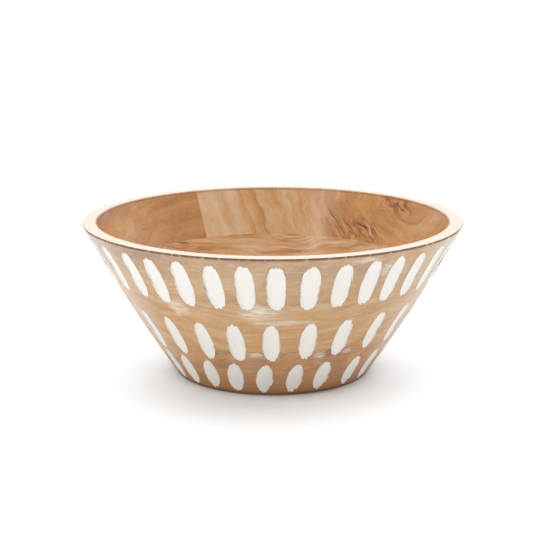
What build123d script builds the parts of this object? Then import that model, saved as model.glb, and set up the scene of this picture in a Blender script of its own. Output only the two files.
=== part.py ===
from build123d import *
from dataclasses import dataclass
from math import cos, hypot, pi, radians, sin, sqrt
from random import Random
import os

# A flaring salad bowl, turned from a blank of glued boards and carved with three rows of
# painted ovals. Millimetres and degrees. +Z is up, the origin is the centre of the foot's
# resting face, and the front of the bowl faces -Y.

# The turned bowl
bowl_height = 125.0
rim_radius = 153.0
foot_radius = 78.7
wall_bow = 2.05  # how far the outer wall bows out from a straight slope, square to it
rim_width = 11.4  # flat top of the wall
wall_thickness = 10.5  # measured level, where the wall meets the floor
floor_thickness = 13.0
cove_radius = 26.0  # round inner corner between the floor and the wall
rim_ease = 0.7  # small flats that take the sharpness off the edges of the rim
foot_ease = 3.0  # softened outer edge of the foot
foot_ring_width = 16.0
foot_recess_depth = 1.5  # shallow hollow turned inside the foot ring

# The blank: three courses of boards, glued face to face, each course crossing the next
base_course_height = 43.0
wall_course_height = 43.0
base_board_width = 53.0
wall_board_width = 64.0
rim_board_width = 75.0
base_grain_angle = 93.0  # direction that a course's boards run in, turned from +X
wall_grain_angle = 0.0
rim_grain_angle = 119.0
turning_allowance = 10.0  # wood that the blank has outside the finished bowl

# The carved ovals: a shallow gouge stroke each, deepest at its middle
gouge_depth = 1.0
gouge_run_out = 0.4  # depth left at both ends of a stroke
gouge_reach = 4.0  # how far a cutter stands out past the bottom of its stroke
paint_thickness = 0.3

# The rows, from the foot to the rim. The upper row takes the height that the others leave.
foot_margin = 3.5
lower_row_rise = 27.0
lower_gap_clearance = 0.4
middle_row_rise = 33.0
upper_gap_clearance = 9.6
rim_margin = 7.0
lower_row_pitch = 22.8
middle_row_pitch = 28.1
upper_row_pitch = 23.8
lower_oval_width = 12.4
middle_oval_width = 13.2
upper_oval_width = 14.6
lower_row_start = -2.3  # where the first oval of a row stands, turned from the front
middle_row_start = 0.0
upper_row_start = 0.9

# How unevenly the hand carved them
middle_row_swing = 3.2  # the middle row climbs from the left side to the right
lower_row_lean = 3.0
lower_row_lean_swing = 9.0  # the lower row leans more on two opposite sides
lower_row_lean_side = -20.0
upper_row_lean = -1.9
height_wander = 0.4
lean_wander = 1.5
turn_wander = 0.115  # share of the step between two ovals
size_wander = 0.04  # share of an oval's own size
lower_row_hand = 20782  # seeds: which uneven hand carves each row
middle_row_hand = 47468
upper_row_hand = 16153

front_angle = -90.0

# What follows from the sizes above
rim_course_height = bowl_height - base_course_height - wall_course_height
blank_reach = rim_radius + turning_allowance
inner_rim_radius = rim_radius - rim_width
foot_recess_radius = foot_radius - foot_ring_width
middle_row_bottom = (
    foot_margin + lower_row_rise + lower_gap_clearance + middle_row_swing + 2 * height_wander
)
upper_row_bottom = (
    middle_row_bottom + middle_row_rise + upper_gap_clearance + middle_row_swing + 2 * height_wander
)
upper_row_rise = bowl_height - rim_margin - upper_row_bottom

os.makedirs("parts", exist_ok=True)


# ---- The turned shape ----

with BuildLine() as outer_wall:
    wall_arc = SagittaArc((foot_radius, 0), (rim_radius, bowl_height), -wall_bow)


def wall_radius(height):
    """Radius of the bowl's outside at a height."""
    centre = wall_arc.arc_center
    return centre.X + sqrt(wall_arc.radius**2 - (height - centre.Y) ** 2)


def wall_normal(height):
    """Outward and upward parts of the direction square to the outside at a height."""
    centre = wall_arc.arc_center
    outward = wall_radius(height) - centre.X
    upward = height - centre.Y
    size = hypot(outward, upward)
    return outward / size, upward / size


inner_floor_radius = wall_radius(floor_thickness) - wall_thickness

with BuildSketch(Plane.XZ) as bowl_section:
    with BuildLine():
        outside = SagittaArc((foot_radius, 0), (rim_radius, bowl_height), -wall_bow)
        rim = Line(outside @ 1, (inner_rim_radius, bowl_height))
        inside = SagittaArc(rim @ 1, (inner_floor_radius, floor_thickness), wall_bow)
        Polyline(
            inside @ 1,
            (0, floor_thickness),
            (0, foot_recess_depth),
            (foot_recess_radius, foot_recess_depth),
            (foot_recess_radius, 0),
            outside @ 0,
        )
    make_face()
    corners = bowl_section.vertices()
    chamfer(corners.group_by(Axis.Y)[-1], rim_ease)
    corners = bowl_section.vertices()
    fillet(corners.sort_by_distance((inner_floor_radius, floor_thickness))[0], cove_radius)
    corners = bowl_section.vertices()
    fillet(corners.sort_by_distance((foot_radius, 0))[0], foot_ease)


# ---- The carved ovals ----


@dataclass
class Oval:
    """One gouge stroke. Its plane touches the bottom of the stroke and faces out of the wall."""

    plane: Plane
    width: float
    length: float


def carve_row(bottom, rise, pitch, width, start, seed, swing=0.0, lean=0.0, lean_swing=0.0):
    """Ovals evenly spaced round the bowl, as unevenly as a hand places them."""
    hand = Random(seed)
    middle = bottom + rise / 2
    count = round(2 * pi * wall_radius(middle) / pitch)
    step = 360 / count
    ovals = []
    for index in range(count):
        turn = start + index * step
        height = middle + swing * sin(radians(turn)) + height_wander * hand.uniform(-1, 1)
        side = 2 * radians(turn - lower_row_lean_side)
        tilt = lean + lean_swing * cos(side) + lean_wander * hand.uniform(-1, 1)
        angle = radians(front_angle + turn + step * turn_wander * hand.uniform(-1, 1))
        radius = wall_radius(height)
        outward, upward = wall_normal(height)
        surface = Plane(
            origin=(radius * cos(angle), radius * sin(angle), height),
            x_dir=(-sin(angle), cos(angle), 0),
            z_dir=(outward * cos(angle), outward * sin(angle), upward),
        )
        oval = Oval(
            plane=surface.rotated((0, 0, tilt)).offset(-gouge_depth),
            width=width * (1 - size_wander * hand.random()),
            length=rise / outward * (1 - size_wander * hand.random()),
        )
        ovals.append(oval)
    return ovals


def stroke_radius(oval):
    """Radius of the long arc that the gouge travels in."""
    climb = gouge_depth - gouge_run_out
    return ((oval.length / 2) ** 2 + climb**2) / (2 * climb)


def stroke_side(oval):
    """Plane along the stroke, square to the wall."""
    return Plane(origin=oval.plane.origin, x_dir=oval.plane.y_dir, z_dir=oval.plane.x_dir)


def gouge_cutter(oval):
    """Oval column that stands on the arc of the stroke and reaches out of the wall."""
    with BuildPart() as cutter:
        with BuildSketch(oval.plane):
            Ellipse(oval.width / 2, oval.length / 2)
        extrude(amount=gouge_reach)
        with BuildSketch(stroke_side(oval)):
            with Locations((0, stroke_radius(oval))):
                Circle(stroke_radius(oval))
        extrude(amount=oval.width, both=True, mode=Mode.INTERSECT)
    return cutter.part


def paint_film(oval, cutter):
    """Thin layer of paint on the bottom of one gouge stroke."""
    with BuildPart() as film:
        add(cutter)
        with BuildSketch(stroke_side(oval)):
            with Locations((0, stroke_radius(oval) + paint_thickness)):
                Circle(stroke_radius(oval))
        extrude(amount=oval.width, both=True, mode=Mode.SUBTRACT)
    return film.part


lower_row = carve_row(
    foot_margin,
    lower_row_rise,
    lower_row_pitch,
    lower_oval_width,
    lower_row_start,
    lower_row_hand,
    lean=lower_row_lean,
    lean_swing=lower_row_lean_swing,
)
middle_row = carve_row(
    middle_row_bottom,
    middle_row_rise,
    middle_row_pitch,
    middle_oval_width,
    middle_row_start,
    middle_row_hand,
    swing=middle_row_swing,
)
upper_row = carve_row(
    upper_row_bottom,
    upper_row_rise,
    upper_row_pitch,
    upper_oval_width,
    upper_row_start,
    upper_row_hand,
    lean=upper_row_lean,
)
lower_cutters = [gouge_cutter(oval) for oval in lower_row]
middle_cutters = [gouge_cutter(oval) for oval in middle_row]
upper_cutters = [gouge_cutter(oval) for oval in upper_row]


# ---- The boards ----


def course_plane(bottom, grain_angle):
    """Bottom of a course. Its boards run along the plane's own Y."""
    return Plane.XY.offset(bottom).rotated((0, 0, grain_angle - 90))


def turned_board(course, height, across, along, cutters):
    """What is left of one straight board when the glued blank is turned and carved."""
    with BuildPart() as board:
        with BuildSketch(course):
            with Locations((across[0], along[0])):
                Rectangle(across[1] - across[0], along[1] - along[0], align=Align.MIN)
        extrude(amount=height)
        revolve(bowl_section.sketch, axis=Axis.Z, mode=Mode.INTERSECT)
        add(cutters, mode=Mode.SUBTRACT)
    return board.part


def save(part, name):
    """Write one piece under its own name."""
    part.label = name
    export_step(part, f"parts/{name}.step")


def save_ring_course(name, sides, ends, course, height, width, cutters):
    """A course that the hollow passes through: an arc on each side, two cut boards at each end."""
    reach = blank_reach
    whole = (-reach, reach)
    save(turned_board(course, height, (-reach, -width), whole, cutters), f"{name}_{sides[0]}")
    save(turned_board(course, height, (width, reach), whole, cutters), f"{name}_{sides[1]}")
    for side, across in zip(sides, ((-width, 0), (0, width))):
        for end, along in zip(ends, ((-reach, 0), (0, reach))):
            board = turned_board(course, height, across, along, cutters)
            save(board, f"{name}_{end}_{side}")


# Base course: four boards that make the foot, the floor and the lower wall
base_course = course_plane(0, base_grain_angle)
base_edges = [-blank_reach, -base_board_width, 0, base_board_width, blank_reach]
base_names = ["base_board_left", "base_board_mid_left", "base_board_mid_right", "base_board_right"]
for name, near, far in zip(base_names, base_edges, base_edges[1:]):
    board = turned_board(
        base_course,
        base_course_height,
        (near, far),
        (-blank_reach, blank_reach),
        lower_cutters + middle_cutters,
    )
    save(board, name)

# Wall course: boards run from left to right
save_ring_course(
    "wall_board",
    ("back", "front"),
    ("left", "right"),
    course_plane(base_course_height, wall_grain_angle),
    wall_course_height,
    wall_board_width,
    middle_cutters + upper_cutters,
)

# Rim course: boards run from front to back, turned a little to the left
save_ring_course(
    "rim_board",
    ("left", "right"),
    ("front", "back"),
    course_plane(base_course_height + wall_course_height, rim_grain_angle),
    rim_course_height,
    rim_board_width,
    upper_cutters,
)


# ---- The paint ----


def save_paint(name, row, cutters):
    """The paint of one whole row, a separate film in each oval."""
    with BuildPart() as paint:
        add([paint_film(oval, cutter) for oval, cutter in zip(row, cutters)])
    save(paint.part, name)


save_paint("lower_row_paint", lower_row, lower_cutters)
save_paint("middle_row_paint", middle_row, middle_cutters)
save_paint("upper_row_paint", upper_row, upper_cutters)
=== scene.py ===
import math
from dataclasses import dataclass

import bmesh
import bpy
import numpy as np
from bpy.props import FloatProperty, FloatVectorProperty, IntProperty, PointerProperty
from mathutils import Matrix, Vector


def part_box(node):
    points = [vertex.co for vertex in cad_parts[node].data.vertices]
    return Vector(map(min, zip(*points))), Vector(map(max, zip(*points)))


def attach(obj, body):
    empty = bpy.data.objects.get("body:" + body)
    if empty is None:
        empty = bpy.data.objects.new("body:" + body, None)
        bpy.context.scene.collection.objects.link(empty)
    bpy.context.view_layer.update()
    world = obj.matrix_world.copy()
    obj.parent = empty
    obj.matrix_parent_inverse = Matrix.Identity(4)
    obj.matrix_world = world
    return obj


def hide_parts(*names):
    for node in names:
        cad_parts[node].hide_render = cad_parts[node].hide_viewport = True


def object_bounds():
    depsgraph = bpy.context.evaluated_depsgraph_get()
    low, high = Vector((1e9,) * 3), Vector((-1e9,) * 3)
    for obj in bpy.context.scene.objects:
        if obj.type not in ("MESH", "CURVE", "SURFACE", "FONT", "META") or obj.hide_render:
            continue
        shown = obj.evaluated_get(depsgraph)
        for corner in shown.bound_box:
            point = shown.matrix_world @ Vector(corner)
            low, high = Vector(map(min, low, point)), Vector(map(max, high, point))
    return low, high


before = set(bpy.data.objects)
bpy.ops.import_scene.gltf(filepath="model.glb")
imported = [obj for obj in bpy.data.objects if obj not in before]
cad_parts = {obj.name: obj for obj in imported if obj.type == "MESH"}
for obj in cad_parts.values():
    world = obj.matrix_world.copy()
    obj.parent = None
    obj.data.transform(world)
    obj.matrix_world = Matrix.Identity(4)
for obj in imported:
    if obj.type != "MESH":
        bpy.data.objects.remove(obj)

bl_info = {
    "name": "Carved wooden bowl",
    "version": (1, 0, 0),
    "blender": (4, 5, 0),
    "location": "3D View > Sidebar > Bowl",
    "description": "Finishes the boards and brushes the paint of a turned and carved salad bowl",
    "category": "Object",
}

MM = 0.001
CAD_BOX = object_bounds()
FOOT, RIM = CAD_BOX[0].z, CAD_BOX[1].z


# ---- Measures taken from the CAD parts ----


def points_of(name):
    """Every vertex of one CAD node, in metres."""
    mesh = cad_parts[name].data
    points = np.empty(len(mesh.vertices) * 3)
    mesh.vertices.foreach_get("co", points)
    return points.reshape(-1, 3)


def course(prefix):
    """The boards of one course, by name."""
    return sorted(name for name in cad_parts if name.startswith(prefix))


RIM_BOARDS = course("rim_board")
WALL_BOARDS = course("wall_board")
BASE_BOARDS = course("base_board")
BOARDS = RIM_BOARDS + WALL_BOARDS + BASE_BOARDS
PAINT_ROWS = sorted(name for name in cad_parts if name.endswith("_row_paint"))
UPPER_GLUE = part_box(RIM_BOARDS[0])[0].z
LOWER_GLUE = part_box(WALL_BOARDS[0])[0].z


def outside_curve():
    """Radius of the outside as a curve over the height, from the widest points of the boards."""
    points = np.vstack([points_of(name) for name in BOARDS])
    radius = np.hypot(points[:, 0], points[:, 1])
    widest = []
    for height in (FOOT + 4 * MM, LOWER_GLUE, UPPER_GLUE, RIM - 1.5 * MM):
        near = np.flatnonzero(np.abs(points[:, 2] - height) < MM)
        widest.append(near[radius[near].argmax()])
    return np.polyfit(points[widest, 2], radius[widest], 2)


OUTSIDE = outside_curve()
HALF_WALL = 5.2 * MM  # what lies nearer the outside than this gets the outside's finish
HALF_GLUE = 0.5 * MM
BARE_ROUGHNESS = 0.62  # of wood without lacquer


# ---- Settings ----


class BowlWoodSettings(bpy.types.PropertyGroup):
    """Colours and sizes of the wood and its finishes."""

    pale: FloatVectorProperty(
        name="Pale wood", description="Sapwood", default=(0.66, 0.495, 0.33), subtype="COLOR"
    )
    golden: FloatVectorProperty(
        name="Golden wood", description="Sound heartwood", default=(0.52, 0.275, 0.088), subtype="COLOR"
    )
    # Also painted over the outside as shade that darkens the wood towards the foot.
    reddish: FloatVectorProperty(
        name="Reddish wood", description="Late wood", default=(0.35, 0.145, 0.045), subtype="COLOR"
    )
    # Also painted along the foot as its contact shadow on the floor.
    dark: FloatVectorProperty(
        name="Dark wood", description="Pores and gum lines", default=(0.13, 0.048, 0.02), subtype="COLOR"
    )
    warm: FloatVectorProperty(
        name="Warm wood", description="Orange tint in streaks", default=(0.60, 0.25, 0.09), subtype="COLOR"
    )
    wash: FloatVectorProperty(
        name="Whitewash",
        description="Thin white on the outside",
        default=(0.46, 0.405, 0.315),
        subtype="COLOR",
    )
    thick_wash: FloatVectorProperty(
        name="Thick whitewash",
        description="White left in scratches and patches",
        default=(0.74, 0.70, 0.62),
        subtype="COLOR",
    )
    # Painted sheen: whitens the left and right of the bowl, as the camera sees them, where light glances off
    # the wood at a slant.
    painted_side_sheen: FloatVectorProperty(
        name="Painted side sheen",
        description="White left on the left and right of the bowl",
        default=(0.74, 0.71, 0.66),
        subtype="COLOR",
    )
    carved: FloatVectorProperty(
        name="Carved wood",
        description="Wood in the ovals, smeared with paint",
        default=(0.52, 0.38, 0.24),
        subtype="COLOR",
    )
    cream: FloatVectorProperty(
        name="Rim wash", description="Cream wash on the rim", default=(0.61, 0.525, 0.45), subtype="COLOR"
    )
    worn_rim: FloatVectorProperty(
        name="Worn rim", description="Rim wash rubbed thin", default=(0.72, 0.52, 0.38), subtype="COLOR"
    )
    ring: FloatProperty(
        name="Ring width", description="Mean width of a year ring", default=0.0042, unit="LENGTH"
    )


class BowlPaintSettings(bpy.types.PropertyGroup):
    """Colour and brushwork of the painted ovals."""

    colour: FloatVectorProperty(
        name="Paint", description="Chalky white", default=(0.78, 0.74, 0.68), subtype="COLOR"
    )
    thin: FloatVectorProperty(
        name="Thin paint", description="Paint with wood under it", default=(0.80, 0.74, 0.64), subtype="COLOR"
    )
    edge: FloatVectorProperty(
        name="Paint edge", description="Paint rubbed at its edge", default=(0.66, 0.49, 0.32), subtype="COLOR"
    )
    thickness: FloatProperty(
        name="Thickness", description="Paint over the wood", default=0.00022, unit="LENGTH"
    )
    tooth: FloatProperty(
        name="Teeth", description="Longest tooth of a torn end", default=0.0014, unit="LENGTH"
    )
    wobble: FloatProperty(
        name="Wobble", description="Unevenness of an oval's edge", default=0.035, subtype="FACTOR"
    )
    columns: IntProperty(name="Columns", description="Brush marks across an oval", default=21, min=5, max=60)
    rows: IntProperty(name="Rows", description="Steps along an oval", default=36, min=5, max=80)
    seed: IntProperty(name="Seed", description="Which teeth are long", default=4)


class BowlStageSettings(bpy.types.PropertyGroup):
    """Floor, light and camera."""

    distance: FloatProperty(
        name="Camera distance", description="Camera in front of the foot", default=1.1, unit="LENGTH"
    )
    height: FloatProperty(
        name="Camera height", description="Camera over the floor", default=0.341, unit="LENGTH"
    )
    aside: FloatProperty(
        name="Camera aside", description="Camera to the right", default=0.0019, unit="LENGTH"
    )
    pitch: FloatProperty(
        name="Camera pitch", description="Looks down by", default=math.radians(13.49), subtype="ANGLE"
    )
    lens: FloatProperty(name="Lens", description="Focal length in mm", default=90.7)
    room: FloatProperty(name="Room light", description="Light of the white room", default=0.74)
    ceiling: FloatProperty(name="Ceiling light", description="Broad light from above", default=2.6)


# ---- Node trees ----


class Field:
    """One output in a node tree. Sums on it add Math nodes to the tree."""

    def __init__(self, tree, socket):
        self.tree = tree
        self.socket = socket

    def maths(self, operation, *terms):
        """A Math node on any values, in the tree of this one."""
        return self.tree.node("ShaderNodeMath", {"operation": operation}, list(terms))

    def __add__(self, other):
        return self.maths("ADD", self, other)

    def __sub__(self, other):
        return self.maths("SUBTRACT", self, other)

    def __rsub__(self, other):
        return self.maths("SUBTRACT", other, self)

    def __mul__(self, other):
        return self.maths("MULTIPLY", self, other)

    def __truediv__(self, other):
        return self.maths("DIVIDE", self, other)

    def __pow__(self, other):
        return self.maths("POWER", self, other)

    def __gt__(self, other):
        return self.maths("GREATER_THAN", self, other)

    def __lt__(self, other):
        return self.maths("LESS_THAN", self, other)

    __radd__ = __add__
    __rmul__ = __mul__

    def least(self, other):
        """The smaller of two values."""
        return self.maths("MINIMUM", self, other)

    def most(self, other):
        """The larger of two values."""
        return self.maths("MAXIMUM", self, other)

    def root(self):
        """The square root."""
        return self.maths("SQRT", self)

    def size(self):
        """The value without its sign."""
        return self.maths("ABSOLUTE", self)

    def ramp(self, low, high, start=0.0, end=1.0):
        """Smooth step from start, where the value is low, to end, where it is high."""
        settings = {"interpolation_type": "SMOOTHSTEP"}
        return self.tree.node("ShaderNodeMapRange", settings, [self, low, high, start, end])

    def out(self, name):
        """Another output of the same node."""
        return Field(self.tree, self.tree.pick(self.socket.node.outputs, name))


class Tree:
    """A shader or geometry node tree under construction."""

    def __init__(self, tree):
        self.tree = tree

    def pick(self, sockets, key):
        """The socket with that name or place, among those that the node's settings leave in use."""
        if isinstance(key, int):
            return sockets[key]
        return next(socket for socket in sockets if key == socket.name and socket.enabled)

    def feed(self, socket, value):
        """Links a socket to a field, or gives it a plain value."""
        if isinstance(value, Field):
            self.tree.links.new(value.socket, socket)
        else:
            socket.default_value = value

    def node(self, kind, settings=None, sockets=(), output=0):
        """Any node: its settings first, then the values or links of its sockets."""
        node = self.tree.nodes.new(kind)
        for name, value in (settings or {}).items():
            if name == "stops":
                self.set_stops(node.color_ramp, value)
            else:
                setattr(node, name, value)
        named = sockets.items() if isinstance(sockets, dict) else enumerate(sockets)
        for key, value in named:
            self.feed(self.pick(node.inputs, key), value)
        enabled = [socket for socket in node.outputs if socket.enabled]
        if not enabled:
            return None
        return Field(self, enabled[output] if isinstance(output, int) else self.pick(node.outputs, output))

    def set_stops(self, ramp, stops):
        """Places and colours of a colour ramp's stops."""
        while len(ramp.elements) < len(stops):
            ramp.elements.new(1.0)
        for element, (place, colour) in zip(ramp.elements, stops):
            element.position = place
            element.color = (*colour, 1.0)

    def vector(self, operation, first, second=None, output=0):
        """A Vector Math node on one vector or two."""
        sockets = [first] if second is None else [first, second]
        return self.node("ShaderNodeVectorMath", {"operation": operation}, sockets, output)

    def scaled(self, vector, scale):
        """A vector made that many times as long."""
        settings = {"operation": "SCALE"}
        return self.node("ShaderNodeVectorMath", settings, {"Vector": vector, "Scale": scale})

    def parts(self, vector):
        """X, Y and Z of a vector."""
        split = self.node("ShaderNodeSeparateXYZ", None, [vector])
        return split, split.out("Y"), split.out("Z")

    def joined(self, x, y, z):
        """A vector of three values."""
        return self.node("ShaderNodeCombineXYZ", None, [x, y, z])

    def mix(self, first, second, factor):
        """The first colour, covered by the second as far as the factor says."""
        first, second = (c if isinstance(c, Field) else (*c, 1.0) for c in (first, second))
        settings = {"data_type": "RGBA", "clamp_factor": True}
        return self.node("ShaderNodeMix", settings, {"Factor": factor, "A": first, "B": second})

    def noise(self, vector, scale=1.0, detail=2.0, roughness=0.5):
        """Noise from 0 to 1 around 0.5."""
        sockets = {"Vector": vector, "Scale": scale, "Detail": detail, "Roughness": roughness}
        return self.node("ShaderNodeTexNoise", None, sockets)

    def streaks(self, vector, reach, detail=2.0, roughness=0.5):
        """Noise whose marks have a reach of their own along each axis."""
        return self.noise(self.vector("DIVIDE", vector, reach), detail=detail, roughness=roughness)

    def noise_along(self, value, detail):
        """Noise that changes with one value alone."""
        sockets = {"W": value, "Scale": 1.0, "Detail": detail}
        return self.node("ShaderNodeTexNoise", {"noise_dimensions": "1D"}, sockets)


def new_material(name):
    """An empty material and its tree."""
    material = bpy.data.materials.new(name)
    material.use_nodes = True
    material.node_tree.nodes.clear()
    return material, Tree(material.node_tree)


def set_surface(tree, **sockets):
    """Ends a material in one Principled shader."""
    named = {key.replace("_", " ").title(): value for key, value in sockets.items()}
    shader = tree.node("ShaderNodeBsdfPrincipled", None, named)
    tree.node("ShaderNodeOutputMaterial", None, {"Surface": shader})


# ---- Wood ----


@dataclass
class Knot:
    """A darker place that the grain swirls round. Millimetres across the board, along it and up."""

    across: float
    along: float
    up: float
    reach: float
    swirl: float  # how far it pushes the rings aside
    stain: float  # how dark it is


@dataclass
class Sawing:
    """How one board was sawn from the tree and what its wood is like. Millimetres."""

    run: float  # direction of the grain, degrees from +X
    heart_across: float  # where the heart of the tree lies, across the board and up
    heart_up: float
    shade: float = 0.4  # 0 is pale sapwood, 1 dark late wood
    rings: float = 0.3  # how clearly the year rings show
    streaks: float = 0.3  # how much reddish streaking runs along the grain
    shift: float = 0.0  # which stretch of the tree the board comes from
    lines: tuple = ()  # gum lines: where each crosses the board, its width and its strength
    sapwood: tuple = ()  # where a paler band crosses the board, its width and its strength
    knots: tuple = ()


@dataclass
class Patch:
    """A place on the outside where the whitewash was left thicker."""

    azimuth: float  # degrees
    height: float  # millimetres over the foot
    around: float  # reach each way, millimetres
    upward: float
    strength: float


WHITE_PATCHES = (
    Patch(265, 79, 17, 8, 1.0),
    Patch(237, 78, 11, 10, 0.8),
    Patch(275, 70, 30, 3, 0.6),
    Patch(263, 40, 6, 3, 0.9),
    Patch(290, 38, 7, 4, 0.9),
    Patch(303, 39, 6, 3, 0.9),
    Patch(297, 120, 16, 2.5, 0.9),
    Patch(305, 110, 6, 8, 0.6),
    Patch(255, 58, 9, 5, 0.4),
    Patch(75, 74, 20, 9, 0.8),
    Patch(120, 110, 16, 7, 0.6),
    Patch(170, 60, 14, 8, 0.7),
    Patch(20, 52, 18, 6, 0.8),
)

BASE_RUN = 93.0
WALL_RUN = 0.0
RIM_RUN = 119.0
LINE_HEIGHT = 104.0  # height at which a gum line's place is given
SAWINGS = {
    "base_board_left": Sawing(BASE_RUN, -50, -90, 0.55, 0.25, 0.3, 1.1),
    "base_board_mid_left": Sawing(
        BASE_RUN, -20, -70, 0.57, 0.3, 0.4, 2.3, knots=(Knot(-41, -90, 33, 9, 3, 0.15),)
    ),
    "base_board_mid_right": Sawing(BASE_RUN, 60, -60, 0.63, 0.4, 0.5, 3.7),
    "base_board_right": Sawing(BASE_RUN, 120, -40, 0.60, 0.3, 0.4, 4.2),
    "wall_board_front": Sawing(WALL_RUN, 40, -60, 0.42, 0.3, 0.35, 5.9),
    "wall_board_back": Sawing(
        WALL_RUN,
        -58,
        -12,
        0.25,
        0.6,
        1.1,
        6.4,
        knots=(
            Knot(-78, -84, 85, 18, 2, 0.26),
            Knot(-92, -58, 84, 18, 2, 0.36),
            Knot(-112, 20, 80, 14, 3, 0.35),
        ),
    ),
    "wall_board_left_front": Sawing(WALL_RUN, 30, 200, 0.40, 0.4, 0.4, 7.3),
    "wall_board_left_back": Sawing(WALL_RUN, -30, -70, 0.45, 0.4, 0.5, 8.8),
    "wall_board_right_front": Sawing(WALL_RUN, 30, 200, 0.40, 0.4, 0.4, 7.3),
    "wall_board_right_back": Sawing(WALL_RUN, -30, -70, 0.45, 0.4, 0.5, 8.8),
    "rim_board_left": Sawing(
        RIM_RUN,
        -60,
        -70,
        0.64,
        0.3,
        0.3,
        9.7,
        sapwood=((-84, 11, 0.5),),
        knots=(Knot(-84, 84, 100, 9, 4, -0.2),),
    ),
    "rim_board_right": Sawing(
        RIM_RUN,
        215,
        100,
        0.45,
        0.45,
        0.55,
        10.2,
        lines=(
            (96.8, 1.0, 0.35),
            (104.2, 0.8, 0.65),
            (115.2, 0.9, 0.45),
            (133.2, 0.8, 0.4),
            (138.0, 1.2, 0.3),
        ),
        sapwood=((142.5, 5.0, 0.7), (82.0, 9.0, 0.45)),
        knots=(
            Knot(107.5, 64, 94, 9, 0.5, 0.38),
            Knot(117.5, 48, 95, 9, 1.0, 0.34),
            Knot(122, 38, 94, 6, 0.5, 0.30),
            Knot(129, 22, 101, 6, 0.5, 0.10),
            Knot(138, 18, 117, 8, 0.3, 0.34),
            Knot(133, 34, 121, 7, 0.3, 0.32),
            Knot(98, 82, 103, 7, 0.5, 0.28),
        ),
    ),
    "rim_board_front_left": Sawing(RIM_RUN, -30, -90, 0.56, 0.25, 0.25, 12.9),
    "rim_board_back_left": Sawing(
        RIM_RUN,
        -12,
        -25,
        0.57,
        0.3,
        0.3,
        12.6,
        knots=(Knot(-60, 115, 102, 6, 2, 0.30), Knot(-68, 108, 95, 5, 2, 0.16)),
    ),
    "rim_board_front_right": Sawing(RIM_RUN, 215, 90, 0.47, 0.3, 0.3, 13.4),
    "rim_board_back_right": Sawing(
        RIM_RUN,
        -150,
        75,
        0.15,
        0.2,
        0.12,
        14.1,
        lines=((43.8, 0.5, 0.5), (54.2, 0.5, 0.75), (68.0, 7.0, 0.6)),
    ),
}


@dataclass
class Bend:
    """A way in which the grain wanders. Millimetres."""

    across: float  # size of the noise, across the grain and along it
    along: float
    move: float  # how far the noise moves for each step of a board's shift
    detail: float
    push: float  # how far the grain is pushed


GRAIN_BENDS = (Bend(48, 130, 7.3, 0.5, 8.0), Bend(11, 30, 5.1, 1.0, 0.5))
SLOW_RINGS = 15.0  # millimetres from one broad band of rings to the next
ALONG_SHIFT = 531.0  # millimetres along the tree for each step of a board's shift


def grain_space(tree, point, sawing):
    """Millimetres across a board, along its grain and up, bent a little as a tree grows."""
    turned = {"Rotation": (0, 0, math.radians(90 - sawing.run)), "Scale": (1 / MM,) * 3}
    grain = board = tree.node("ShaderNodeMapping", None, {"Vector": point, **turned})
    for bend in GRAIN_BENDS:
        where = tree.vector("DIVIDE", board, (bend.across, bend.along, bend.across))
        where = tree.vector("ADD", where, (sawing.shift * bend.move,) * 3)
        push = tree.node("ShaderNodeTexNoise", None, {"Vector": where, "Detail": bend.detail}, "Color")
        push = tree.vector("SUBTRACT", push, (0.5, 0.5, 0.5))
        grain = tree.vector("ADD", grain, tree.scaled(push, bend.push))
    return grain


def middle_of(name, sawing):
    """Middle of a board, across it and up, in millimetres."""
    middle = points_of(name).mean(axis=0) / MM
    across = math.radians(sawing.run - 90)
    return middle[0] * math.cos(across) + middle[1] * math.sin(across), middle[2]


def bell(distance, width):
    """1 where a distance is nothing, falling to 0 at the width."""
    return distance.size().ramp(width, 0.0)


def knot_field(tree, grain, knots):
    """How strongly the knots push the rings aside, and how dark they stain the wood."""
    swirl, stain = 0.0, 0.0
    for knot in knots:
        apart = tree.vector("SUBTRACT", grain, (knot.across, knot.along, knot.up))
        distance = tree.vector("LENGTH", tree.vector("MULTIPLY", apart, (1.0, 0.55, 1.0)), output="Value")
        near = bell(distance, knot.reach * 1.7)
        swirl = near * knot.swirl + swirl
        stain = near * knot.stain + stain
    return swirl, stain


def ring_space(tree, grain, sawing, middle, swirl):
    """Millimetres outward through the year rings, along the grain and round the rings."""
    across, along, up = tree.parts(grain)
    sideways, rise = across - sawing.heart_across, up - sawing.heart_up
    distance = (sideways * sideways + rise * rise).root() + swirl
    facing = unit(np.array([middle[0] - sawing.heart_across, middle[1] - sawing.heart_up]))
    around = rise * float(facing[0]) - sideways * float(facing[1])
    return distance, tree.joined(distance, along + sawing.shift * ALONG_SHIFT, around)


def ring_at(sawing, place):
    """Distance from the heart to the ring that crosses the board at a place, in millimetres."""
    return math.hypot(place - sawing.heart_across, LINE_HEIGHT - sawing.heart_up)


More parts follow.
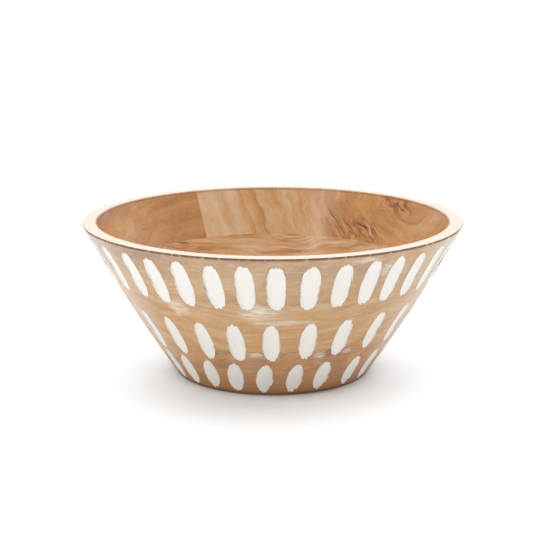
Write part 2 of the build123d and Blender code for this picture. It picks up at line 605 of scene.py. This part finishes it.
def raw_wood(tree, grain, sawing, middle, colours):
    """Colour of the bare wood, its pores and its fibres."""
    swirl, stain = knot_field(tree, grain, sawing.knots)
    distance, layers = ring_space(tree, grain, sawing, middle, swirl)
    rings = tree.noise_along(distance / (colours.ring / MM), detail=2.0)
    slow_rings = tree.noise_along(distance / SLOW_RINGS, detail=1.0)
    broad = tree.streaks(layers, (9, 80, 45))
    flame = tree.streaks(layers, (2.6, 42, 19))
    fibres = tree.streaks(layers, (0.6, 22, 5), detail=3.0, roughness=0.65)
    dashes = tree.streaks(layers, (0.8, 18, 9), roughness=0.6)
    pores = tree.streaks(layers, (0.5, 6, 0.9), detail=1.0).ramp(0.60, 0.74)
    mottle = tree.streaks(layers, (13, 22, 13), detail=3.0)
    hue = tree.streaks(layers, (12, 60, 20))

    # Tone from 0, pale, to 1, dark
    tone = sawing.shade + (broad - 0.5) * 0.45 + (slow_rings - 0.5) * 0.3 + (fibres - 0.5) * 0.4
    tone = tone + (rings - 0.5) * (0.75 * sawing.rings) + (flame - 0.47) * (0.95 * sawing.streaks)
    tone = tone + dashes.ramp(0.32, 0.66, -0.7, 1.5) * stain + (mottle - 0.5) * 0.25
    broken = dashes.ramp(0.30, 0.65, 0.3, 1.0)
    for place, width, strength in sawing.lines:
        ring = ring_at(sawing, place)
        tone = tone + bell(distance - ring, 1.6 * width) * broken * (0.5 * strength)
        tone = tone + bell(distance - (ring - 3 * width), 5 * width) * (0.2 * strength)
    for place, width, strength in sawing.sapwood:
        tone = tone - bell(distance - ring_at(sawing, place), 1.5 * width) * (0.5 * strength)

    stops = [(0.0, colours.pale), (0.42, colours.golden), (0.75, colours.reddish), (1.0, colours.dark)]
    colour = tree.node("ShaderNodeValToRGB", {"stops": stops}, [tone])
    colour = tree.mix(colour, colours.dark, pores * 0.32)
    warmth = 0.2 + 0.4 * sawing.streaks
    colour = tree.mix(colour, colours.warm, hue.ramp(0.42, 0.72, 0.0, warmth))
    return colour, pores, fibres


@dataclass
class Place:
    """Where a point of the surface lies on the bowl."""

    metric: Field  # millimetres from the middle of the foot
    x: Field
    y: Field
    z: Field
    radius: Field
    outside: Field  # radius of the outside at this height
    is_outside: Field
    facing_up: Field


def place_on_bowl(tree, point):
    """Reads off one point all that the finishes go by."""
    x, y, z = tree.parts(point)
    radius = (x * x + y * y).root()
    outside = z * z * float(OUTSIDE[0]) + z * float(OUTSIDE[1]) + float(OUTSIDE[2])
    is_outside = radius > outside - HALF_WALL
    facing_up = tree.parts(tree.node("ShaderNodeNewGeometry", output="Normal"))[2]
    return Place(tree.scaled(point, 1 / MM), x, y, z, radius, outside, is_outside, facing_up)


def patch_field(tree, place):
    """How thickly the patches of whitewash were left, from 0 to 1."""
    azimuth = place.y.maths("ARCTAN2", place.y, place.x) * (180 / math.pi)
    azimuth = azimuth + (azimuth < 0) * 360
    ragged = (tree.streaks(place.metric, (9, 9, 3), detail=3.0) - 0.5) * 1.2
    total = 0.0
    for patch in WHITE_PATCHES:
        radius = float(np.polyval(OUTSIDE, patch.height * MM)) / MM
        around = (azimuth - patch.azimuth) * (math.radians(radius) / patch.around)
        upward = (place.z - patch.height * MM) / (patch.upward * MM)
        apart = (around * around + upward * upward).root() + ragged
        total = apart.ramp(1.1, 0.3) * patch.strength + total
    return total


def whitewashed(tree, wood, place, colours):
    """The outside. Its whitewash is rubbed back, its left and right get a painted sheen, painted shade
    darkens the wood down towards the foot, and a painted contact shadow runs along the foot.
    """
    cloud = tree.noise(place.metric, scale=0.045, detail=3.0, roughness=0.6)
    scratch = tree.streaks(place.metric, (11, 11, 0.8), roughness=0.7)
    turning = tree.streaks(place.metric, (18, 18, 0.7), roughness=0.7)
    veil = cloud.ramp(0.25, 0.75, -0.10, 0.10) + place.z.ramp(LOWER_GLUE, RIM, 0.14, 0.40)
    patches = patch_field(tree, place) * scratch.ramp(0.36, 0.62, 0.12, 0.85)
    # Painted sheen: the left and right of the bowl, as the camera sees them, are whitened where light glances
    # off the wood.
    painted_sheen = (place.x.size() / place.radius).ramp(0.68, 0.95)
    coats = (
        (colours.wash, veil),
        (colours.thick_wash, patches.most(scratch.ramp(0.56, 0.72) * 0.36)),
        (colours.painted_side_sheen, painted_sheen * 0.42),
        (colours.reddish, turning.ramp(0.54, 0.74) * 0.30),
        # Painted shade: the wood darkens and reddens towards the foot, where the floor shades it.
        (colours.reddish, place.z.ramp(FOOT + 34 * MM, FOOT + 1 * MM) * 0.8),
        # Painted contact shadow: a dark band along the foot, where it meets the floor.
        (colours.dark, place.z.ramp(FOOT + 5 * MM, FOOT + 0.5 * MM) * 0.85),
    )
    for coat, cover in coats:
        wood = tree.mix(wood, coat, cover)
    return wood


def joints_and_carving(tree, colour, place, colours):
    """Wood that the gouge laid bare, and the two level glue lines."""
    depth = (place.outside - place.radius).ramp(0.10 * MM, 0.30 * MM)
    cut = depth * place.is_outside * (place.z < RIM - 2 * MM)
    colour = tree.mix(colour, colours.carved, cut * 0.7)
    glue = bell(place.z - LOWER_GLUE, HALF_GLUE).most(bell(place.z - UPPER_GLUE, HALF_GLUE))
    broken = tree.noise(place.metric, scale=0.12, detail=1.0).ramp(0.45, 0.6)
    return tree.mix(colour, colours.dark, glue * broken * 0.65)


def rim_finish(tree, colour, place, colours):
    """Cream wash on the rim, rubbed off its edges, which have dark nicks. Also gives where the rim is."""
    flat = place.facing_up.ramp(0.80, 0.97)
    on_rim = (place.z > RIM - 1.2 * MM) * flat
    level = tree.vector("MULTIPLY", place.metric, (1.0, 1.0, 0.0))
    wear = tree.noise(level, scale=0.10, detail=4.0, roughness=0.65)
    cream = tree.mix(colours.cream, colours.worn_rim, wear.ramp(0.42, 0.7, 0.0, 0.65))
    colour = tree.mix(colour, cream, on_rim * wear.ramp(0.25, 0.45, 0.88, 1.0))
    edge = place.z.ramp(RIM - 2.6 * MM, RIM - 1.0 * MM) * (1 - flat)
    nicks = tree.noise(place.metric, scale=0.25, detail=4.0, roughness=0.6)
    nicks = (nicks + edge * 0.16).ramp(0.42, 0.66, 0.1, 0.95) * (0.55 + 0.45 * place.is_outside)
    return tree.mix(colour, colours.dark, edge * nicks), on_rim


def board_material(name, colours):
    """Wood of one board: lacquered inside, whitewashed outside, cream on the rim, bare below."""
    sawing = SAWINGS[name]
    material, tree = new_material(f"{name}_wood")
    point = tree.node("ShaderNodeTexCoord", output="Object")
    grain = grain_space(tree, point, sawing)
    wood, pores, fibres = raw_wood(tree, grain, sawing, middle_of(name, sawing), colours)
    place = place_on_bowl(tree, point)
    colour = tree.mix(wood, whitewashed(tree, wood, place, colours), place.is_outside)
    colour = joints_and_carving(tree, colour, place, colours)
    colour, on_rim = rim_finish(tree, colour, place, colours)

    is_below = (place.z < FOOT + 6 * MM) * (1 - place.is_outside)
    lacquer = 1 - place.is_outside.most(on_rim).most(is_below)
    smear = tree.noise(place.metric, scale=0.08, detail=3.0).ramp(0.3, 0.7, 0.20, 0.32)
    rough = lacquer * smear + (1 - lacquer) * BARE_ROUGHNESS
    height = fibres * 0.3 - pores * 0.6
    bump = tree.node("ShaderNodeBump", None, {"Strength": 0.3, "Distance": 0.15 * MM, "Height": height})
    set_surface(tree, base_color=colour, roughness=rough, normal=bump)
    return material


class BOWL_OT_finish_boards(bpy.types.Operator):
    """Gives every board of the blank its own wood and finish"""

    bl_idname = "bowl.finish_boards"
    bl_label = "Finish boards"

    def execute(self, context):
        for name in BOARDS:
            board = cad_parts[name]
            board.data.materials.clear()
            board.data.materials.append(board_material(name, context.scene.bowl_wood))
        return {"FINISHED"}


# ---- Paint ----


# How blunt the ends of each row's ovals are: 2 is an ellipse, more is squarer
BLUNT_ENDS = {"lower_row_paint": 1.6, "middle_row_paint": 2.1, "upper_row_paint": 2.6}


@dataclass
class Stroke:
    """Where one carved oval lies, measured on its paint film."""

    centre: np.ndarray
    along: np.ndarray
    across: np.ndarray
    outward: np.ndarray
    half_length: float
    half_width: float


def unit(vector):
    """The vector at length 1."""
    return vector / np.linalg.norm(vector)


def films_of(name):
    """Vertices of each separate film in a row of paint."""
    shape = bmesh.new()
    shape.from_mesh(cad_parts[name].data)
    bmesh.ops.remove_doubles(shape, verts=shape.verts, dist=0.001 * MM)
    left = set(shape.verts)
    films = []
    while left:
        film = [left.pop()]
        for vertex in film:
            near = {edge.other_vert(vertex) for edge in vertex.link_edges} & left
            left -= near
            film.extend(near)
        films.append(np.array([vertex.co for vertex in film]))
    shape.free()
    return films


def measure(film):
    """Reads one stroke off its film: tip to tip is its length, and it faces away from the axis."""
    middle = film.mean(axis=0)
    outward = unit(np.linalg.svd(film - middle, full_matrices=False)[2][2])
    outward = outward * math.copysign(1.0, outward[:2] @ middle[:2])
    tips = [film[film[:, 2].argmin()], film[film[:, 2].argmax()]]
    for _ in range(2):
        along = unit(tips[1] - tips[0])
        reach = (film - middle) @ along
        tips = [film[reach.argmin()], film[reach.argmax()]]
    along = unit(along - outward * (along @ outward))
    across = np.cross(along, outward)
    spread = (film - middle) @ np.array([along, across]).T
    low, high = spread.min(axis=0), spread.max(axis=0)
    centre = middle + along * (low + high)[0] / 2 + across * (low + high)[1] / 2
    return Stroke(centre, along, across, outward, *((high - low) / 2))


def stroke_points(name, strokes):
    """A mesh with one vertex for each stroke, which carries the stroke's measures."""
    mesh = bpy.data.meshes.new(name)
    mesh.from_pydata([stroke.centre for stroke in strokes], [], [])
    for key in ("along", "across", "outward", "centre"):
        values = np.array([getattr(stroke, key) for stroke in strokes], np.float32)
        mesh.attributes.new(key, "FLOAT_VECTOR", "POINT").data.foreach_set("vector", values.ravel())
    for key in ("half_length", "half_width"):
        values = np.array([getattr(stroke, key) for stroke in strokes], np.float32)
        mesh.attributes.new(key, "FLOAT", "POINT").data.foreach_set("value", values)
    mesh.attributes.new("number", "INT", "POINT").data.foreach_set("value", range(len(strokes)))
    piece = bpy.data.objects.new(name, mesh)
    bpy.context.scene.collection.objects.link(piece)
    return piece


def carved_wood():
    """One mesh of all the boards, which the paint is laid on."""
    shape = bmesh.new()
    for name in BOARDS:
        shape.from_mesh(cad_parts[name].data)
    mesh = bpy.data.meshes.new("carved_wood")
    shape.to_mesh(mesh)
    shape.free()
    wood = bpy.data.objects.new("carved_wood", mesh)
    bpy.context.scene.collection.objects.link(wood)
    return wood


BRUSHWORK_INPUTS = {
    "Wood": "NodeSocketObject",
    "Columns": "NodeSocketInt",
    "Rows": "NodeSocketInt",
    "Tooth": "NodeSocketFloat",
    "Wobble": "NodeSocketFloat",
    "Blunt": "NodeSocketFloat",
    "Thickness": "NodeSocketFloat",
    "Seed": "NodeSocketInt",
    "Paint": "NodeSocketMaterial",
}
RAY_START = 5 * MM  # how far over the film its rays to the wood start
RAY_PLACES = ((0, 0), (0.45, 0), (-0.45, 0), (0, 0.25), (0, -0.25))  # millimetres along and across
SUNK = 0.05 * MM  # how far the underside of the film goes into the wood


def brushwork_tree():
    """Geometry nodes that lay a thin, torn-ended film of paint along each stroke."""
    group = bpy.data.node_groups.new("brushwork", "GeometryNodeTree")
    tree = Tree(group)
    group.interface.new_socket("Strokes", in_out="INPUT", socket_type="NodeSocketGeometry")
    for name, kind in BRUSHWORK_INPUTS.items():
        group.interface.new_socket(name, in_out="INPUT", socket_type=kind)
    group.interface.new_socket("Film", in_out="OUTPUT", socket_type="NodeSocketGeometry")
    given = tree.node("NodeGroupInput")
    film = brush_marks(tree, given)
    film = tree.node("GeometryNodeSetPosition", None, {"Geometry": film, "Position": oval_place(tree, given)})
    film = tree.node("GeometryNodeSetPosition", None, {"Geometry": film, "Offset": drop_to_wood(tree, given)})
    film = thickened(tree, given, film)
    film = tree.node("GeometryNodeRealizeInstances", None, [film])
    film = tree.node("GeometryNodeSetMaterial", None, {"Geometry": film, "Material": given.out("Paint")})
    tree.node("NodeGroupOutput", None, [film])
    return group


def brush_marks(tree, given):
    """A flat sheet for each stroke, with its own place on it from -1 to 1 both ways."""
    columns, rows = given.out("Columns"), given.out("Rows")
    sheet = tree.node("GeometryNodeMeshGrid", None, [2.0, 2.0, columns + 1, rows + 1])
    place = tree.node("GeometryNodeInputPosition")
    settings = {"data_type": "FLOAT_VECTOR", "domain": "POINT"}
    sockets = {"Geometry": sheet, "Name": "stroke", "Value": place}
    sheet = tree.node("GeometryNodeStoreNamedAttribute", settings, sockets)
    sheets = tree.node("GeometryNodeInstanceOnPoints", None, {"Points": given, "Instance": sheet})
    return tree.node("GeometryNodeRealizeInstances", None, [sheets])


def oval_place(tree, given):
    """Where each point of a sheet lies on its oval. Each brush mark ends where its own tooth ends."""
    side, step, _ = tree.parts(named(tree, "stroke", "FLOAT_VECTOR"))
    number = named(tree, "number", "INT")
    seed = given.out("Seed")
    column = rounded((side + 1) * 0.5 * given.out("Columns"))
    mark = number * 101 + column + (step > 0) * 53
    tooth = random_value(tree, -0.6, 1.0, mark, seed) * given.out("Tooth")
    lean = tree.noise(tree.joined(number * 3.7, step * 0.9, 0.0), detail=1.0) - 0.5
    ragged = random_value(tree, -0.42, 0.30, number * 211 + rounded(step * 37), seed)
    half_width = named(tree, "half_width", "FLOAT") * (lean * given.out("Wobble") * 4 + 1.035)
    half_width = half_width + ragged * side.size() ** 4 * MM
    blunt = 1 - side.size() ** given.out("Blunt")
    half_length = named(tree, "half_length", "FLOAT") * (blunt.most(0.0) + 0.02).root() + tooth
    place = tree.vector("ADD", named(tree, "centre", "FLOAT_VECTOR"), lift(tree, "across", side * half_width))
    rise = step.maths("SINE", step * (math.pi / 2)) * half_length
    return tree.vector("ADD", place, lift(tree, "along", rise))


def drop_to_wood(tree, given):
    """The move that lays each point on the highest wood close round it."""
    wood = tree.node("GeometryNodeObjectInfo", {"transform_space": "ORIGINAL"}, [given.out("Wood")])
    wood = wood.out("Geometry")
    outward = named(tree, "outward", "FLOAT_VECTOR")
    above = tree.vector("ADD", tree.node("GeometryNodeInputPosition"), tree.scaled(outward, RAY_START))
    nearest = None
    for along, across in RAY_PLACES:
        start = tree.vector("ADD", above, lift(tree, "along", along * MM))
        start = tree.vector("ADD", start, lift(tree, "across", across * MM))
        sockets = {
            "Target Geometry": wood,
            "Source Position": start,
            "Ray Direction": tree.scaled(outward, -1.0),
            "Ray Length": 2 * RAY_START,
        }
        ray = tree.node("GeometryNodeRaycast", None, sockets)
        depth = ray.out("Hit Distance") + (1 - ray.out("Is Hit")) * RAY_START
        nearest = depth if nearest is None else nearest.least(depth)
    return lift(tree, "outward", RAY_START - nearest - SUNK)


def thickened(tree, given, film):
    """Gives the flat film its thickness, thinner towards the edge, and closes it."""
    side, step, _ = tree.parts(named(tree, "stroke", "FLOAT_VECTOR"))
    inner = (1 - (side * side).most(step * step)).ramp(0.0, 0.25, 0.35, 1.0)
    sockets = {
        "Mesh": film,
        "Offset": named(tree, "outward", "FLOAT_VECTOR"),
        "Offset Scale": given.out("Thickness") * inner + SUNK,
        "Individual": False,
    }
    top = tree.node("GeometryNodeExtrudeMesh", None, sockets)
    under = tree.node("GeometryNodeFlipFaces", None, [film])
    both = tree.node("GeometryNodeJoinGeometry")
    for part in (under, top):
        tree.feed(both.socket.node.inputs[0], part)
    shell = tree.node("GeometryNodeMergeByDistance", None, {"Geometry": both, "Distance": 0.0005 * MM})
    return tree.node("GeometryNodeSetShadeSmooth", None, {"Geometry": shell, "Shade Smooth": True})


def rounded(value):
    """The nearest whole number."""
    return value.maths("ROUND", value)


def named(tree, name, kind):
    """A value that the mesh carries."""
    return tree.node("GeometryNodeInputNamedAttribute", {"data_type": kind}, {"Name": name})


def lift(tree, name, distance):
    """A move along one of a stroke's own directions."""
    return tree.scaled(named(tree, name, "FLOAT_VECTOR"), distance)


def random_value(tree, low, high, number, seed):
    """A random value between two limits, always the same for one number and seed."""
    sockets = {"Min": low, "Max": high, "ID": number, "Seed": seed}
    return tree.node("FunctionNodeRandomValue", {"data_type": "FLOAT"}, sockets)


def paint_material(settings):
    """Chalky paint, brushed along each stroke."""
    material, tree = new_material("chalk_paint")
    stroke = tree.node("ShaderNodeAttribute", {"attribute_name": "stroke"}, output="Vector")
    point = tree.node("ShaderNodeTexCoord", output="Object")
    side, step, _ = tree.parts(stroke)
    where = tree.scaled(point, 1 / MM)
    marks = tree.vector("ADD", tree.joined(side * 9.0, step * 1.2, 0.0), tree.scaled(where, 0.03))
    brushed = tree.noise(marks, detail=3.0, roughness=0.6)
    mottled = tree.noise(where, scale=0.3, detail=3.0)
    shaded = [0.82 * part for part in settings.colour]
    shade = tree.mix(settings.colour, shaded, brushed.ramp(0.45, 0.8, 0.0, 0.35))
    shade = tree.mix(shade, settings.thin, mottled.ramp(0.55, 0.8, 0.0, 0.35))
    edge = side.size().most(step.size()).ramp(0.86, 1.0, 0.0, 0.7)
    shade = tree.mix(shade, settings.edge, edge)
    height = brushed * 0.6 + mottled * 0.4
    bump = tree.node("ShaderNodeBump", None, {"Strength": 0.35, "Distance": 0.2 * MM, "Height": height})
    set_surface(tree, base_color=shade, roughness=mottled.ramp(0.3, 0.7, 0.6, 0.8), normal=bump)
    return material


class BOWL_OT_brush_ovals(bpy.types.Operator):
    """Brushes torn-ended paint into every carved oval, row by row"""

    bl_idname = "bowl.brush_ovals"
    bl_label = "Brush ovals"

    def execute(self, context):
        settings = context.scene.bowl_paint
        wood = carved_wood()
        tree = brushwork_tree()
        paint = paint_material(settings)
        for row in PAINT_ROWS:
            strokes = [measure(film) for film in films_of(row)]
            strokes.sort(key=lambda stroke: math.atan2(stroke.centre[1], stroke.centre[0]))
            self.brush(row, strokes, tree, wood, paint, settings)
        bpy.data.objects.remove(wood)
        return {"FINISHED"}

    def brush(self, row, strokes, tree, wood, paint, settings):
        """Makes one row's paint as a plain mesh that stands for its films."""
        points = stroke_points(f"{row}_strokes", strokes)
        modifier = points.modifiers.new("brushwork", "NODES")
        modifier.node_group = tree
        values = {
            "Wood": wood,
            "Columns": settings.columns,
            "Rows": settings.rows,
            "Tooth": settings.tooth,
            "Wobble": settings.wobble,
            "Blunt": BLUNT_ENDS[row],
            "Thickness": settings.thickness,
            "Seed": settings.seed,
            "Paint": paint,
        }
        for socket in tree.interface.items_tree:
            if socket.name in values:
                modifier[socket.identifier] = values[socket.name]
        depsgraph = bpy.context.evaluated_depsgraph_get()
        mesh = bpy.data.meshes.new_from_object(points.evaluated_get(depsgraph))
        if not mesh.polygons:
            raise RuntimeError(f"no paint was made for {row}")
        bpy.data.objects.remove(points)
        piece = bpy.data.objects.new(row.replace("_row_paint", "_row_brushwork"), mesh)
        bpy.context.scene.collection.objects.link(piece)
        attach(piece, "root")
        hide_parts(row)


# ---- Stage ----


FLOOR_SHADES = ((0.905, 0.93, 0.955), (0.935, 0.96, 0.985))
CEILING_FROM = (0.15, 0.50, 1.0)
CEILING_WIDTH = math.radians(100)
WINDOW_FROM = (-0.52, -0.545, 0.653)
WINDOW_DISTANCE = 1.6
WINDOW_SIZE = (0.22, 0.9)
WINDOW_POWER = 4.0


def stage_material():
    """Plain pale floor."""
    material, tree = new_material("pale_floor")
    point = tree.node("ShaderNodeTexCoord", output="Object")
    soft = tree.noise(point, scale=2.0, detail=2.0)
    shade = tree.mix(*FLOOR_SHADES, soft)
    set_surface(tree, base_color=shade, roughness=0.9)
    return material


def add_lamp(light, direction, distance):
    """Hangs a light in that direction from the foot, facing it."""
    toward = Vector(direction).normalized()
    lamp = bpy.data.objects.new(light.name, light)
    lamp.location = toward * distance
    lamp.rotation_euler = toward.to_track_quat("Z", "Y").to_euler()
    bpy.context.scene.collection.objects.link(lamp)


class BOWL_OT_set_stage(bpy.types.Operator):
    """Sets the pale floor, the soft light and the camera"""

    bl_idname = "bowl.set_stage"
    bl_label = "Set stage"

    def execute(self, context):
        settings = context.scene.bowl_stage
        self.lay_floor()
        self.light_room(context.scene, settings)
        self.place_camera(context.scene, settings)
        return {"FINISHED"}

    def lay_floor(self):
        """A wide floor just under the foot."""
        shape = bmesh.new()
        bmesh.ops.create_grid(shape, x_segments=4, y_segments=4, size=12.0)
        bmesh.ops.translate(shape, verts=shape.verts, vec=(0, 0, FOOT - 0.1 * MM))
        mesh = bpy.data.meshes.new("floor")
        shape.to_mesh(mesh)
        shape.free()
        mesh.materials.append(stage_material())
        floor = bpy.data.objects.new("floor", mesh)
        bpy.context.scene.collection.objects.link(floor)

    def light_room(self, scene, settings):
        """A white room with a bright ceiling and one tall window on the left."""
        world = bpy.data.worlds.new("white_room")
        world.use_nodes = True
        background = world.node_tree.nodes["Background"]
        background.inputs["Color"].default_value = (1.0, 1.0, 1.0, 1.0)
        background.inputs["Strength"].default_value = settings.room
        scene.world = world
        ceiling = bpy.data.lights.new("ceiling", "SUN")
        ceiling.energy = settings.ceiling
        ceiling.angle = CEILING_WIDTH
        add_lamp(ceiling, CEILING_FROM, 2.0)
        window = bpy.data.lights.new("window", "AREA")
        window.shape = "RECTANGLE"
        window.size, window.size_y = WINDOW_SIZE
        window.energy = WINDOW_POWER
        add_lamp(window, WINDOW_FROM, WINDOW_DISTANCE)
        scene.view_settings.view_transform = "Standard"

    def place_camera(self, scene, settings):
        """A camera in front of the bowl that looks a little down on it."""
        camera = bpy.data.objects.new("camera", bpy.data.cameras.new("camera"))
        camera.data.lens = settings.lens
        camera.location = (settings.aside, -settings.distance, settings.height)
        camera.rotation_euler = (math.pi / 2 - settings.pitch, 0, 0)
        scene.collection.objects.link(camera)
        scene.camera = camera


# ---- Panel and registration ----


class BOWL_PT_panel(bpy.types.Panel):
    """The steps that finish the bowl"""

    bl_idname = "BOWL_PT_panel"
    bl_label = "Carved bowl"
    bl_space_type = "VIEW_3D"
    bl_region_type = "UI"
    bl_category = "Bowl"

    def draw(self, context):
        for step in STEPS:
            self.layout.operator(step.bl_idname)
        for group in (context.scene.bowl_wood, context.scene.bowl_paint, context.scene.bowl_stage):
            box = self.layout.box()
            for name in group.bl_rna.properties.keys():
                if name not in ("rna_type", "name"):
                    box.prop(group, name)


SETTINGS = {"bowl_wood": BowlWoodSettings, "bowl_paint": BowlPaintSettings, "bowl_stage": BowlStageSettings}
STEPS = (BOWL_OT_finish_boards, BOWL_OT_brush_ovals, BOWL_OT_set_stage)
CLASSES = (*SETTINGS.values(), *STEPS, BOWL_PT_panel)


def register():
    """Adds the settings, the steps and the panel to Blender."""
    for cls in CLASSES:
        bpy.utils.register_class(cls)
    for name, group in SETTINGS.items():
        setattr(bpy.types.Scene, name, PointerProperty(type=group))


def unregister():
    """Takes them away again."""
    for name in SETTINGS:
        delattr(bpy.types.Scene, name)
    for cls in reversed(CLASSES):
        bpy.utils.unregister_class(cls)


def main():
    """Finishes the whole bowl."""
    register()
    bpy.ops.bowl.finish_boards()
    bpy.ops.bowl.brush_ovals()
    bpy.ops.bowl.set_stage()


if __name__ == "__main__":
    main()
